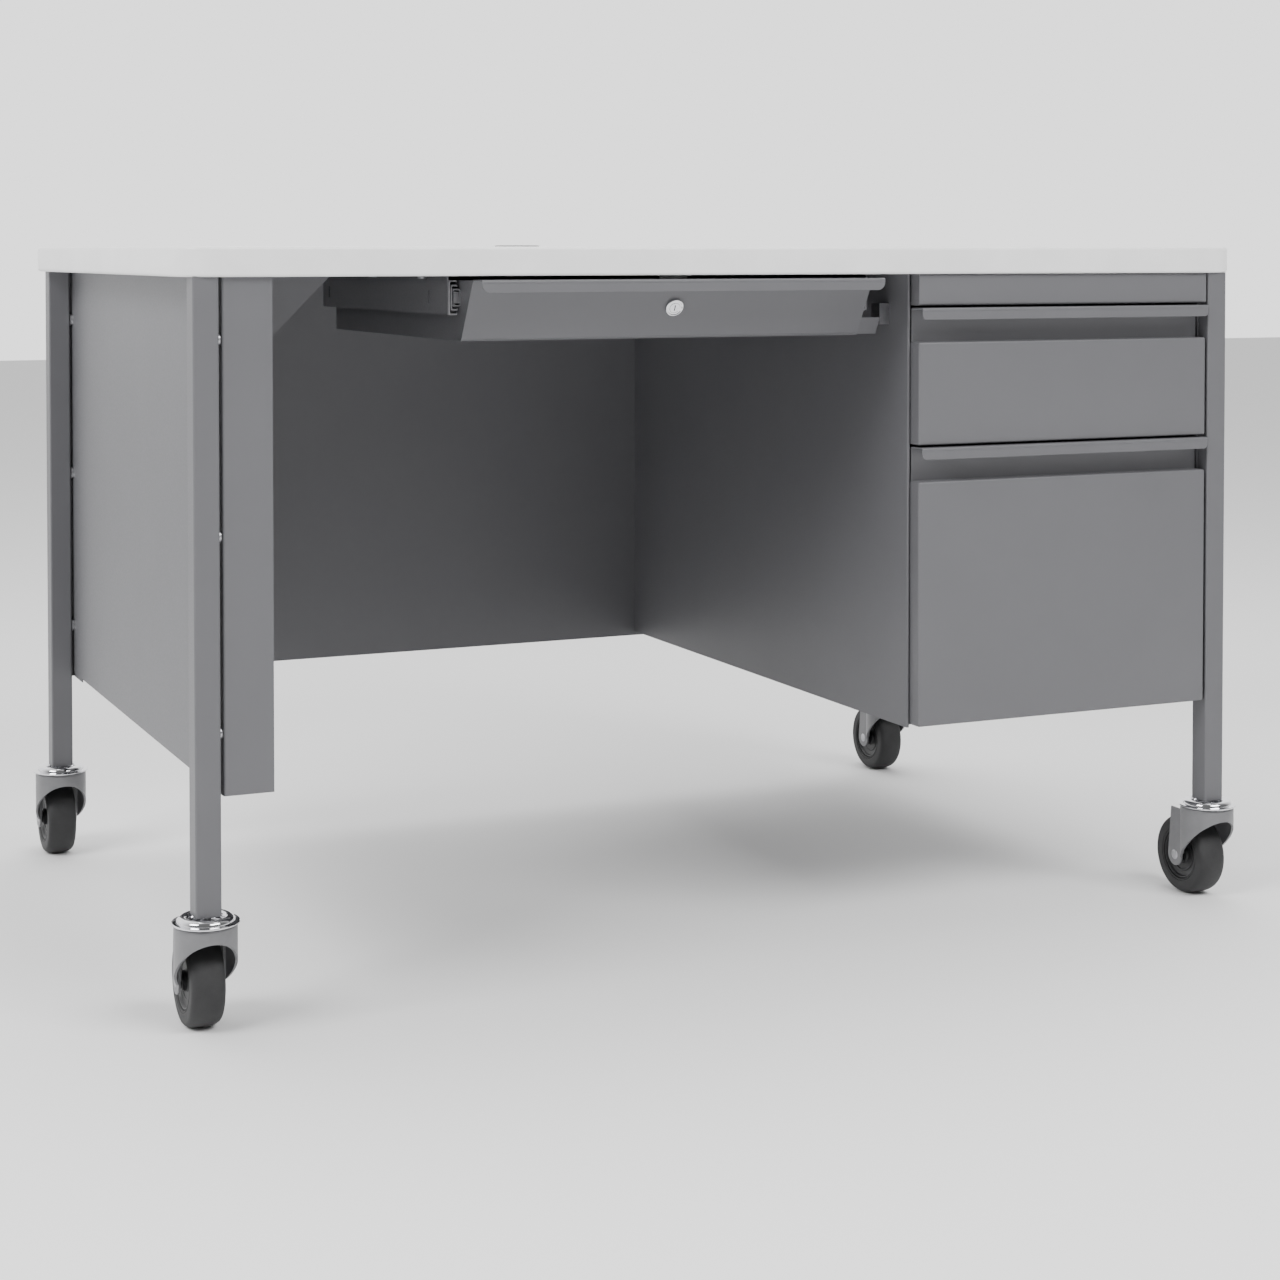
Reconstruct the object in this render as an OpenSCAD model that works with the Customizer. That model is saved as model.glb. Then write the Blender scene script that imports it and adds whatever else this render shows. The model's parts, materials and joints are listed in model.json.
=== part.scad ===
// Mobile single-pedestal desk: laminate worktop on four square legs with swivel casters,
// a shallow lockable centre drawer, a box drawer and a file drawer.
// X runs left to right, the user side faces -Y, Z is up and the floor is z = 0.
// The origin is under the middle of the whole desk, trailing rear wheels included.

/* [Worktop] */
// Width of the worktop
top_w = 1219; // [1000:1:1600]
// Depth of the worktop
top_d = 762; // [640:1:900]
// Height of the desk from the floor to the worktop surface
desk_h = 749; // [700:1:820]
// Thickness of the worktop
top_t = 29; // [20:0.5:38]
// Radius of the worktop corners in plan
top_corner_r = 30; // [16:1:60]
// Thickness of the edge band around the worktop
band_t = 3; // [1.5:0.5:6]
// Outer diameter of the grommet flange
grommet_d = 60; // [54:1:80]
// Diameter of the cable hole through the worktop
grommet_hole_d = 51; // [40:1:52]
// How far the grommet flange stands above the worktop
grommet_flange_t = 3; // [1.5:0.5:5]
// Depth of the seat in the worktop that holds the grommet flange
grommet_seat = 0.5; // [0.3:0.1:2]
// Distance from the rear edge of the worktop to the grommet centre
grommet_back = 62; // [45:1:120]

/* [Legs] */
// Width of the square leg tube
leg_w = 25; // [20:1:40]
// Wall of the leg tube
leg_wall = 1.5; // [1:0.1:3]
// Distance from the worktop end to the outer face of a leg
leg_inset_x = 12.5; // [6:0.5:60]
// Distance from the worktop front or back edge to the outer face of a leg
leg_inset_y = 5; // [2:0.5:40]

/* [Casters] */
// Diameter of the caster wheel
wheel_d = 90; // [75:1:110]
// Width of the caster wheel
wheel_w = 33.5; // [24:0.5:35]
// How far the wheel trails behind its swivel axis
trail = 30; // [20:0.5:40]
// Outer diameter of the fork hood
hood_d = 60; // [54:1:76]
// Width of the flat cheeks that hold the wheel
cheek_w = 25; // [20:0.5:30]
// Outer distance between the two cheeks
cheek_span = 45; // [42:0.5:50]
// Thickness of the fork steel
fork_t = 2.5; // [1.5:0.1:4]
// Gap between the top of the wheel and the fork crown
crown_gap = 14; // [8:0.5:24]
// Diameter of the wheel axle
axle_d = 8; // [6:0.5:12]
// Diameter of the swivel stem
stem_d = 10; // [8:0.5:12]
// Radial running clearance at the axle and the swivel stem
running_fit = 0.05; // [0.02:0.01:0.1]
// Outer diameter of the bearing cup flange
cup_flange_d = 65; // [50:1:80]
// Height of the bearing cup
cup_h = 7.5; // [5:0.5:12]

/* [Steel panels] */
// Thickness of the sheet steel
sheet = 1.2; // [0.8:0.1:2]
// Height of the lower edge of the left end and the pedestal above the floor
panel_z = 228; // [150:1:320]
// How far the rear panel hangs below the ends
modesty_drop = 5; // [0:0.5:12]
// Thickness of the hollow left end
end_t = 49; // [30:1:90]
// Gap between the left end and the legs
end_gap = 3; // [1:0.5:8]
// Leg length of the knee-space gusset
gusset_leg = 125; // [60:1:200]
// Distance from the front of the worktop to the gusset
gusset_back = 231; // [80:1:500]

/* [Pedestal] */
// Outer width of the drawer pedestal, from its inner side to the right legs
pedestal_w = 384.5; // [320:0.5:480]
// How far the drawer fronts stand in front of the pedestal sides
front_proud = 17; // [12:0.5:30]
// Distance from the front of the worktop to the drawer fronts
front_inset = 6; // [3:0.5:20]
// Height of the rail above the upper drawer
header_h = 34; // [20:1:60]
// Height of the upper drawer front without its pull
box_face_h = 111; // [80:1:150]
// Gap between neighbouring fronts
reveal = 2.5; // [1.5:0.1:5]
// Depth of the pedestal drawers
drawer_d = 560; // [400:1:600]

/* [Drawer pulls] */
// Height of the finger recess and lip of a pull
pull_h = 37; // [26:0.5:60]
// Height of the lip of a pull
lip_h = 12.8; // [8:0.1:20]
// Corner radius of the lips of the pedestal drawers
pull_lip_r = 5; // [2:0.5:12]

/* [Centre drawer] */
// Width of the centre drawer
centre_w = 456; // [360:1:480]
// Distance from the worktop centre line to the centre drawer centre line
centre_x = -82; // [-120:1:-60]
// Depth of the centre drawer bottom
centre_d = 426; // [300:1:500]
// Height of the centre drawer, from its bottom to the top of its lip
centre_h = 62.5; // [50:0.5:90]
// How far the bottom of the centre drawer front leans back from its top
lean = 35; // [10:0.5:50]
// Corner radius of the lip of the centre drawer
centre_lip_r = 9; // [2:0.5:12]
// Diameter of the lock face
lock_d = 20; // [16:0.5:24]

/* [Drawer slides] */
// Height of the slide outer member
slide_h = 35; // [27:0.5:46]
// Thickness of a closed slide
slide_t = 12.7; // [12:0.1:16]
// Wall of the slide members
slide_wall = 1.5; // [1:0.1:2]
// Clearance between sliding members
slide_gap = 0.8; // [0.5:0.1:1.2]

/* [Hidden] */
$fn = 64;
cut = 1;

// Colours
steel_paint = "#7d7d82";
dark_paint = "#4a4a4d";
zinc = "#b8b8ba";
chrome = "#d8d8da";

// Depth layout. The casters reach past the worktop: the bearing cups and hoods at the front,
// the trailing wheels at the back.
wheel_r = wheel_d / 2;
leg_to_edge = leg_inset_y + leg_w / 2;
nose = max(0, max(cup_flange_d, hood_d) / 2 - leg_to_edge);
tail = max(0, trail + wheel_r - leg_to_edge);
front_y = -(top_d + tail - nose) / 2;
back_y = front_y + top_d;
mid_y = (front_y + back_y) / 2;
under_z = desk_h - top_t;

// Leg centres
leg_x = top_w / 2 - leg_inset_x - leg_w / 2;
leg_front_y = front_y + leg_to_edge;
leg_rear_y = back_y - leg_to_edge;
leg_in_x = leg_x - leg_w / 2;

// Caster heights
crown_z = wheel_d + crown_gap + fork_t;
cup_z = crown_z + 0.5;
leg_z = cup_z + cup_h;
hub_d = wheel_d * 0.62;
cheek_x = cheek_span / 2 - fork_t;
axle_z = wheel_r;
cheek_y0 = trail - cheek_w / 2;
cheek_top_z = crown_z - 6.5;
hood_front_z = crown_z - 13.5;
skirt_z = crown_z - 8;

// Pedestal
ped_x0 = leg_in_x - pedestal_w;
ped_x1 = leg_in_x;
hem = 3.5;
carcass_y = front_y + front_inset + front_proud;
carcass_back_y = leg_rear_y - 2;
face_x0 = ped_x0 + hem + 0.5;
face_x1 = ped_x1 - reveal;
face_w = face_x1 - face_x0;
face_y = front_y + front_inset;
front_back_y = carcass_y + 2;
lip_out = front_inset;
lip_side = 1;
header_z = under_z - header_h;
box_top = header_z - reveal;
box_z = box_top - pull_h - box_face_h;
file_top = box_z - reveal;
file_z = panel_z + 3;
file_h = file_top - file_z;
bay_x0 = ped_x0 + sheet;
bay_x1 = ped_x1 - sheet;
tray_x0 = bay_x0 + slide_t;
tray_x1 = bay_x1 - slide_t;
box_tray_z = box_z + 6;
box_tray_h = box_face_h - 12;
file_tray_z = file_z + 6;
file_tray_h = file_h - pull_h - 22;
box_slide_z = box_tray_z + box_tray_h / 2;
file_slide_z = file_tray_z + file_tray_h / 2;
slide_len = drawer_d - 18;

// Left end
end_x0 = -(leg_in_x - end_gap);
end_x1 = end_x0 + end_t;
end_y = front_y + leg_inset_y + 2;
modesty_y = carcass_back_y;

// Centre drawer
centre_x0 = centre_x - centre_w / 2;
centre_x1 = centre_x + centre_w / 2;
centre_top = under_z - 4;
centre_z = centre_top - centre_h;
slant_y = front_y + 26;
slant_foot_y = slant_y + lean;
lean_a = atan2(lean, centre_h);
centre_tray_top = centre_top - 1;
centre_slide_z = under_z - slide_h / 2 - 5;
centre_slide_len = centre_d + 4;
lock_drop = 29.5;
lock_y = slant_y + lean * lock_drop / centre_h;
lock_z = centre_top - lock_drop;
lock_len = 24;
plug_d = lock_d * 0.55;
slant_t = sheet / cos(lean_a);
barrel_d = lock_d - 3;
cam_reach = min(18, (under_z - 3 - lock_z - lock_len * sin(lean_a)) / cos(lean_a));
centre_slide_y = slant_foot_y + 2;
hanger_z = centre_slide_z - slide_h / 2;
ped_slide_y = carcass_y + 16;

// Plate with rounded corners in plan, centred on X and Y
module rounded_plate(w, d, h, r) {
    union() {
        translate([-w / 2 + r, -d / 2, 0]) cube([w - 2 * r, d, h]);
        translate([-w / 2, -d / 2 + r, 0]) cube([w, d - 2 * r, h]);
        for (x = [-1, 1], y = [-1, 1])
            translate([x * (w / 2 - r), y * (d / 2 - r), 0]) cylinder(r = r, h = h);
    }
}

// A pair of solids mirrored about the plane x = at
module mirrored_pair(at) {
    children();
    translate([2 * at, 0, 0]) mirror([1, 0, 0]) children();
}

// ---- Worktop ----

// Places of the worktop screws, in X and Y
seat_fit = 0.2;
hanger_flange = 18;
screw_d = 4.5;
screw_places = [
    for (y = [0.12, 0.5, 0.88]) [centre_x0 - slide_t - sheet - hanger_flange / 2,
        centre_slide_y + y * centre_slide_len],
    for (y = [0.12, 0.5, 0.88]) [centre_x1 + slide_t + sheet + hanger_flange / 2,
        centre_slide_y + y * centre_slide_len],
    for (y = [0.15, 0.5, 0.85]) [end_x1 + 8, end_y + y * (modesty_y - end_y)],
    for (y = [0.15, 0.5, 0.85]) [bay_x1 - 8, carcass_y + y * (carcass_back_y - carcass_y)],
];

module worktop() {
    color("#efefef") difference() {
        translate([0, mid_y, under_z])
            rounded_plate(top_w - 2 * band_t, top_d - 2 * band_t, top_t, top_corner_r - band_t);
        translate([0, back_y - grommet_back, under_z - cut])
            cylinder(d = grommet_hole_d, h = top_t + 2 * cut);
        translate([0, back_y - grommet_back, desk_h - grommet_seat])
            cylinder(d = grommet_d + 2 * seat_fit, h = grommet_seat + cut);
        for (p = screw_places)
            translate([p[0], p[1], under_z - cut]) cylinder(d = screw_d, h = 16 + cut);
    }
}

module edge_band() {
    color("#e4e4e4") translate([0, mid_y, under_z]) difference() {
        rounded_plate(top_w, top_d, top_t, top_corner_r);
        translate([0, 0, -cut])
            rounded_plate(top_w - 2 * band_t, top_d - 2 * band_t, top_t + 2 * cut,
                top_corner_r - band_t);
    }
}

module grommet_sleeve() {
    wall = 2;
    color(dark_paint) translate([0, back_y - grommet_back, 0]) difference() {
        union() {
            translate([0, 0, under_z]) cylinder(d = grommet_hole_d, h = top_t);
            translate([0, 0, desk_h - grommet_seat])
                cylinder(d = grommet_d, h = grommet_flange_t + grommet_seat);
        }
        translate([0, 0, under_z - cut])
            cylinder(d = grommet_hole_d - 2 * wall - 3, h = top_t + 2 * cut);
        translate([0, 0, desk_h - 3])
            cylinder(d = grommet_hole_d - 2 * wall, h = grommet_flange_t + 3 + cut);
    }
}

module grommet_cap() {
    cap_d = grommet_hole_d - 4.8;
    color(dark_paint) translate([0, back_y - grommet_back, desk_h - 2.8]) difference() {
        cylinder(d = cap_d, h = grommet_flange_t + 2.8);
        translate([-6, cap_d / 2 - 12, -cut]) cube([12, 13, grommet_flange_t + 3 + 2 * cut]);
    }
}

// ---- Legs and end panels ----

module leg(x, y) {
    color(steel_paint) translate([x, y, leg_z]) difference() {
        rounded_plate(leg_w, leg_w, under_z - leg_z, 2);
        translate([0, 0, -cut])
            rounded_plate(leg_w - 2 * leg_wall, leg_w - 2 * leg_wall,
                under_z - leg_z + 2 * cut, 0.8);
    }
}

module left_end_panel() {
    h = under_z - panel_z;
    d = modesty_y - end_y - 0.5;
    color(steel_paint) translate([end_x0, end_y, panel_z]) {
        difference() {
            cube([end_t, d, h]);
            translate([sheet, sheet, -cut]) cube([end_t, d, h + 2 * cut]);
        }
    }
}

module left_inner_panel() {
    h = under_z - panel_z;
    d = modesty_y - end_y - 0.5 - sheet;
    color(steel_paint) {
        difference() {
            union() {
                translate([end_x1 - sheet, end_y + sheet, panel_z]) cube([sheet, d, h]);
                translate([end_x1 - sheet, end_y + sheet, under_z - sheet])
                    cube([sheet + 16, d, sheet]);
                translate([end_x1 - sheet - 12, end_y + sheet, panel_z]) cube([12, d, sheet]);
            }
            for (p = screw_places)
                translate([p[0], p[1], under_z - sheet - cut])
                    cylinder(d = screw_d, h = sheet + 2 * cut);
        }
    }
}

// Washers and bolts that hold the left end to its two legs
module panel_spacers() {
    color(zinc) for (y = [leg_front_y, leg_rear_y - 10], z = [0.12, 0.5, 0.88])
        translate([end_x0 - end_gap, y, panel_z + z * (under_z - panel_z)])
            rotate([0, 90, 0]) cylinder(d = min(14, leg_w - 4), h = end_gap);
}

module right_end_panel() {
    h = under_z - panel_z;
    d = carcass_back_y - carcass_y;
    color(steel_paint) difference() {
        union() {
            translate([ped_x1 - sheet, carcass_y, panel_z]) cube([sheet, d, h]);
            translate([bay_x1 - 16, carcass_y + 20, under_z - sheet]) cube([16, d - 30, sheet]);
        }
        for (p = screw_places)
            translate([p[0], p[1], under_z - sheet - cut])
                cylinder(d = screw_d, h = sheet + 2 * cut);
    }
}

module modesty_panel() {
    flange = 50;
    h = under_z - panel_z + modesty_drop;
    color(dark_paint) translate([-leg_in_x, modesty_y, panel_z - modesty_drop]) {
        cube([2 * leg_in_x, sheet, h]);
        translate([end_gap + sheet, -flange, 0]) cube([sheet, flange, h]);
        cube([2 * leg_in_x, 12, sheet]);
    }
}

// Triangular plate that braces the left end against the worktop
module knee_gusset() {
    color(steel_paint) translate([end_x1, front_y + gusset_back, under_z - sheet])
        rotate([90, 0, 0]) linear_extrude(height = sheet)
            polygon([[0, 0], [gusset_leg, 0], [0, -gusset_leg]]);
}

// ---- Pedestal carcass ----

module pedestal_side() {
    h = under_z - panel_z;
    d = carcass_back_y - carcass_y;
    color(dark_paint) translate([ped_x0, carcass_y, panel_z]) {
        cube([sheet, d, h]);
        cube([hem, 14, h]);
        translate([0, 0, h - sheet]) cube([12, d, sheet]);
    }
}

module pedestal_back() {
    color(dark_paint) translate([bay_x0, carcass_back_y - sheet, panel_z + sheet])
        cube([bay_x1 - bay_x0, sheet, under_z - panel_z - 2 * sheet]);
}

module pedestal_base() {
    d = carcass_back_y - carcass_y;
    color(dark_paint) translate([bay_x0, carcass_y + 14, panel_z])
        cube([bay_x1 - bay_x0, d - 14, sheet]);
}

// Rail above the upper drawer, folded back to the pedestal sides
module front_header() {
    color(steel_paint) {
        translate([face_x0, face_y, header_z]) cube([face_w, sheet, header_h]);
        translate([face_x0, face_y, header_z]) cube([face_w, 50, sheet]);
        translate([face_x0, face_y, under_z - sheet]) cube([face_w, front_proud, sheet]);
        for (x = [face_x0, face_x1 - sheet])
            translate([x, face_y, header_z]) cube([sheet, front_proud, header_h]);
        translate([ped_x0 + hem, carcass_y, header_z])
            cube([bay_x1 - ped_x0 - hem, 30, sheet]);
    }
}

// ---- Slides ----
// A slide member is extruded along Y. Its section is drawn with u from the wall towards the
// drawer and v up from the middle of the slide.

module outer_section() {
    depth = slide_t - 3.5;
    difference() {
        translate([0, -slide_h / 2]) square([depth, slide_h]);
        translate([slide_wall, -slide_h / 2 + slide_wall])
            square([depth, slide_h - 2 * slide_wall]);
    }
}

module middle_section() {
    h = slide_h - 2 * slide_wall - 6;
    u0 = slide_wall + slide_gap;
    difference() {
        translate([u0, -h / 2]) square([slide_t - 3 - u0, h]);
        translate([u0 + slide_wall, -h / 2 + slide_wall])
            square([slide_t, h - 2 * slide_wall]);
    }
}

module inner_section() {
    h = slide_h - 4 * slide_wall - 11;
    u0 = 2 * slide_wall + 2 * slide_gap;
    difference() {
        translate([u0, -h / 2]) square([slide_t - u0, h]);
        translate([u0 - cut, -h / 2 + slide_wall])
            square([slide_t - u0 - slide_wall + cut, h - 2 * slide_wall]);
    }
}

// Left and right slide members between two walls, starting at y0
module slide_pair(x0, x1, y0, z, length) {
    mirrored_pair((x0 + x1) / 2)
        translate([x0, y0 + length, z]) rotate([90, 0, 0])
            linear_extrude(height = length) children();
}

// ---- Drawers ----

module tray(x0, x1, y0, z0, d, h) {
    difference() {
        translate([x0, y0, z0]) cube([x1 - x0, d, h]);
        translate([x0 + sheet, y0 + sheet, z0 + sheet])
            cube([x1 - x0 - 2 * sheet, d - 2 * sheet, h]);
    }
}

// Lip of a pull: an upright strip with rounded lower corners, top at z = 0
module lip(w, corner_r) {
    r = min(corner_r, lip_h - 1);
    rotate([90, 0, 0]) translate([0, 0, -sheet]) linear_extrude(height = sheet) {
        translate([0, -lip_h + r]) square([w, lip_h - r]);
        translate([r, -lip_h]) square([w - 2 * r, lip_h]);
        for (x = [r, w - r]) translate([x, -lip_h + r]) intersection() {
            circle(r = r);
            translate([-r, -r]) square([2 * r, r]);
        }
    }
}

// Folded steel front with a recessed pull along its top edge
module pedestal_front(z0, h) {
    face_h = h - pull_h;
    color(steel_paint) {
        difference() {
            translate([face_x0, face_y, z0]) cube([face_w, front_back_y - face_y, face_h]);
            translate([face_x0 + sheet, face_y + sheet, z0 + sheet])
                cube([face_w - 2 * sheet, front_back_y - face_y, face_h - 2 * sheet]);
        }
        translate([face_x0, front_back_y - sheet, z0 + face_h - 10])
            cube([face_w, sheet, pull_h + 10]);
        translate([face_x0 + lip_side, face_y - lip_out, z0 + h - sheet])
            cube([face_w - 2 * lip_side, front_back_y - face_y + lip_out, sheet]);
        translate([face_x0 + lip_side, face_y - lip_out, z0 + h])
            lip(face_w - 2 * lip_side, pull_lip_r);
    }
}

module box_drawer_front() { pedestal_front(box_z, box_face_h + pull_h); }
module file_drawer_front() { pedestal_front(file_z, file_h); }

module box_drawer_tray() {
    color(dark_paint)
        tray(tray_x0, tray_x1, front_back_y, box_tray_z, drawer_d, box_tray_h);
}

module file_drawer_tray() {
    color(dark_paint)
        tray(tray_x0, tray_x1, front_back_y, file_tray_z, drawer_d, file_tray_h);
}

// Bars that carry the hooks of hanging folders
module file_rails() {
    color(zinc) mirrored_pair((tray_x0 + tray_x1) / 2)
        translate([tray_x0 + 12, front_back_y + sheet, file_tray_z + file_tray_h - 16])
            cube([2.5, drawer_d - 2 * sheet, 14]);
}

// Depth of the leaning front's outer face at height z
function slant_at(z) = slant_foot_y - (z - centre_z) * lean / centre_h;

module along_x(x0, w) {
    translate([x0, 0, 0]) rotate([90, 0, 90]) linear_extrude(height = w) children();
}

// A strip that follows the leaning front, from depth o behind its face, t deep
module leaning_strip(x0, w, z0, z1, o, t) {
    along_x(x0, w) polygon([[slant_at(z0) + o, z0], [slant_at(z0) + o + t, z0],
        [slant_at(z1) + o + t, z1], [slant_at(z1) + o, z1]]);
}

module centre_drawer_tray() {
    back_end = slant_foot_y + centre_d;
    arm_w = ped_x0 - centre_x1 - 16;
    color(dark_paint) {
        translate([centre_x0, slant_foot_y + slant_t, centre_z])
            cube([centre_w, centre_d - slant_t, sheet]);
        translate([centre_x0, back_end - sheet, centre_z])
            cube([centre_w, sheet, centre_tray_top - centre_z]);
        mirrored_pair(centre_x) along_x(centre_x0, sheet)
            polygon([[slant_foot_y + slant_t, centre_z], [back_end, centre_z],
                [back_end, centre_tray_top], [slant_at(centre_tray_top) + slant_t, centre_tray_top]]);
        leaning_strip(centre_x1 - sheet, arm_w + sheet, centre_z + 1, centre_z + 19, 5, slant_t);
    }
}

module centre_drawer_front() {
    color(steel_paint) difference() {
        union() {
            leaning_strip(centre_x0, centre_w, centre_z, centre_top, 0, slant_t);
            translate([centre_x0, front_y, centre_top - sheet])
                cube([centre_w, slant_y - front_y + slant_t, sheet]);
            translate([centre_x0, front_y, centre_top]) lip(centre_w, centre_lip_r);
        }
        at_lock() translate([0, 0, -6]) cylinder(d = barrel_d + 0.2, h = 12);
    }
}

// ---- Centre drawer lock ----
// Its own Z runs out of the leaning front, square to it

module at_lock() {
    translate([centre_x, lock_y, lock_z]) rotate([90 + lean_a, 0, 0]) children();
}

module lock_shell() {
    color(chrome) at_lock() difference() {
        union() {
            cylinder(d = lock_d, h = 3);
            translate([0, 0, -lock_len]) cylinder(d = barrel_d, h = lock_len + 1);
        }
        translate([0, 0, -lock_len - cut])
            cylinder(d = plug_d + 2 * running_fit, h = lock_len + 3 + 2 * cut);
    }
}

module lock_plug() {
    color(chrome) at_lock() difference() {
        translate([0, 0, -lock_len - 0.5]) cylinder(d = plug_d, h = lock_len + 3);
        translate([-0.6, -plug_d * 0.3, -8]) cube([1.2, plug_d * 0.6, 12]);
    }
}

module lock_cam() {
    color(zinc) at_lock() translate([0, 0, -lock_len - 2.5]) {
        cylinder(d = plug_d + 3, h = 2);
        translate([0, -4, 0]) cube([cam_reach, 8, 2]);
    }
}

// Plate under the worktop that the turned cam closes behind
module lock_strike() {
    color(zinc) translate([centre_x - 16, slant_y + 18, 0]) {
        translate([0, 0, under_z - 12]) cube([32, sheet, 12]);
        translate([0, -10, under_z - sheet]) cube([32, 10, sheet]);
    }
}

// ---- Centre drawer hangers ----

module hanger(side) {
    wall_x = side < 0 ? centre_x0 - slide_t : centre_x1 + slide_t;
    color(zinc) difference() {
        union() {
            translate([side < 0 ? wall_x - sheet : wall_x, centre_slide_y, hanger_z])
                cube([sheet, centre_slide_len, under_z - hanger_z]);
            translate([side < 0 ? wall_x - sheet - hanger_flange : wall_x, centre_slide_y,
                under_z - sheet])
                cube([sheet + hanger_flange, centre_slide_len, sheet]);
        }
        for (p = screw_places)
            translate([p[0], p[1], under_z - sheet - cut])
                cylinder(d = screw_d, h = sheet + 2 * cut);
        // Mounting slots of the slide
        for (y = [0.125, 0.94])
            translate([wall_x - sheet - cut, centre_slide_y + y * centre_slide_len, hanger_z + 11])
                cube([2 * (sheet + cut), 4, 13]);
    }
}

module worktop_screws() {
    color(zinc) for (p = screw_places) translate([p[0], p[1], under_z - sheet]) {
        translate([0, 0, -2.5]) cylinder(d = 2 * screw_d, h = 2.5);
        cylinder(d = screw_d - 0.1, h = sheet + 15);
    }
}

// Catch on the pedestal side that the centre drawer's tab works
module interlock_bracket() {
    color(zinc) translate([ped_x0 - 12, slant_foot_y + 2, centre_z + 11]) {
        cube([12, 2, 23]);
        translate([0, 0, 0]) cube([2, 18, 23]);
        translate([10, 0, 0]) cube([2, 18, 23]);
    }
}

// ---- Casters ----

module bearing_cups() {
    recess_d = leg_w * 1.36 + 4;
    color(chrome) for (x = [-1, 1], y = [leg_front_y, leg_rear_y])
        translate([x * leg_x, y, cup_z]) difference() {
            union() {
                cylinder(d = cup_flange_d, h = cup_h * 0.4);
                cylinder(d = cup_flange_d - 9, h = cup_h * 0.7);
                cylinder(d = cup_flange_d - 13, h = cup_h);
            }
            translate([0, 0, -cut]) cylinder(d = stem_d + 0.2, h = cup_h + 2 * cut);
            translate([0, 0, cup_h - 1]) difference() {
                cylinder(d = recess_d, h = 1 + cut);
                cylinder(d = leg_w, h = 1 + cut);
            }
        }
}

module caster_stems() {
    plug_w = leg_w - 2 * leg_wall - 0.6;
    head_h = min(5, crown_gap - 2);
    color(zinc) for (x = [-1, 1], y = [leg_front_y, leg_rear_y])
        translate([x * leg_x, y, 0]) {
            translate([0, 0, crown_z - fork_t - 0.5 - head_h]) cylinder(d = stem_d + 4, h = head_h);
            translate([0, 0, crown_z - fork_t - 1])
                cylinder(d = stem_d, h = leg_z - crown_z + fork_t + 2);
            translate([-plug_w / 2, -plug_w / 2, leg_z]) cube([plug_w, plug_w, 35]);
        }
}

// Side outline of the hood in Y and Z: its lower edge rises from the cheeks to the front,
// and a short skirt runs round the back above the wheel
module hood_outline() {
    polygon([[-hood_d, crown_z], [-hood_d, hood_front_z], [-hood_d / 2, hood_front_z],
        [cheek_y0, axle_z], [cheek_y0, skirt_z], [hood_d, skirt_z], [hood_d, crown_z]]);
}

// Side outline of a cheek, narrower at its top and round about the axle
module cheek_outline() {
    polygon([[cheek_y0, axle_z], [cheek_y0, cheek_top_z],
        [cheek_y0 + 0.8 * cheek_w, cheek_top_z], [cheek_y0 + cheek_w, axle_z]]);
    translate([trail, axle_z]) circle(d = cheek_w);
}

module fork(x, y) {
    inside = crown_z - fork_t;
    hood_r = hood_d / 2;
    step_x = sqrt(hood_r * hood_r - cheek_y0 * cheek_y0) - 0.5;
    color("#98989b") translate([x, y, 0]) difference() {
        union() {
            intersection() {
                difference() {
                    cylinder(d = hood_d, h = crown_z);
                    translate([0, 0, -cut]) cylinder(d = hood_d - 2 * fork_t, h = inside + cut);
                }
                along_x(-hood_d, 2 * hood_d) hood_outline();
            }
            mirrored_pair(0) {
                along_x(-cheek_span / 2, fork_t) cheek_outline();
                // Step that joins the round hood to the flat cheek
                translate([-step_x, cheek_y0 - fork_t, axle_z + 4])
                    cube([step_x - cheek_x, fork_t + 1, cheek_top_z - axle_z - 4]);
            }
        }
        translate([0, 0, inside - cut])
            cylinder(d = stem_d + 2 * running_fit, h = fork_t + 2 * cut);
        translate([-hood_r, trail, axle_z]) rotate([0, 90, 0])
            cylinder(d = axle_d + 0.1, h = hood_d);
    }
}

module axle(x, y) {
    reach = cheek_span / 2;
    color(zinc) translate([x, y + trail, axle_z]) rotate([0, 90, 0]) {
        translate([0, 0, -reach - 1]) cylinder(d = axle_d, h = 2 * reach + 2);
        for (z = [-reach - 2.5, reach]) translate([0, 0, z]) cylinder(d = axle_d * 1.6, h = 2.5);
    }
}

module hub(x, y) {
    color("#48484a") translate([x, y + trail, axle_z]) rotate([0, 90, 0]) difference() {
        union() {
            translate([0, 0, -wheel_w / 2 + 1]) cylinder(d = hub_d, h = wheel_w - 2);
            translate([0, 0, -cheek_x + 0.6]) cylinder(d = axle_d + 8, h = 2 * cheek_x - 1.2);
        }
        translate([0, 0, -cheek_x]) cylinder(d = axle_d + 2 * running_fit, h = 2 * cheek_x);
    }
}

module tyre(x, y) {
    shoulder = min(wheel_w * 0.25, (wheel_r - hub_d / 2) / 2 - 0.1);
    color("#3c3c3e") translate([x, y + trail, axle_z]) rotate([0, 90, 0]) rotate_extrude() {
        translate([hub_d / 2, -wheel_w / 2])
            square([wheel_r - hub_d / 2 - shoulder, wheel_w]);
        translate([hub_d / 2, -wheel_w / 2 + shoulder])
            square([wheel_r - hub_d / 2, wheel_w - 2 * shoulder]);
        for (s = [-1, 1])
            translate([wheel_r - shoulder, s * (wheel_w / 2 - shoulder)]) circle(r = shoulder);
    }
}

// ---- Slides in place ----

module centre_slide() {
    color(zinc) slide_pair(centre_x0 - slide_t, centre_x1 + slide_t, centre_slide_y,
        centre_slide_z, centre_slide_len - 4) children();
}

module pedestal_slide(z) {
    color(zinc) slide_pair(bay_x0, bay_x1, ped_slide_y, z, slide_len) children();
}

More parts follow.
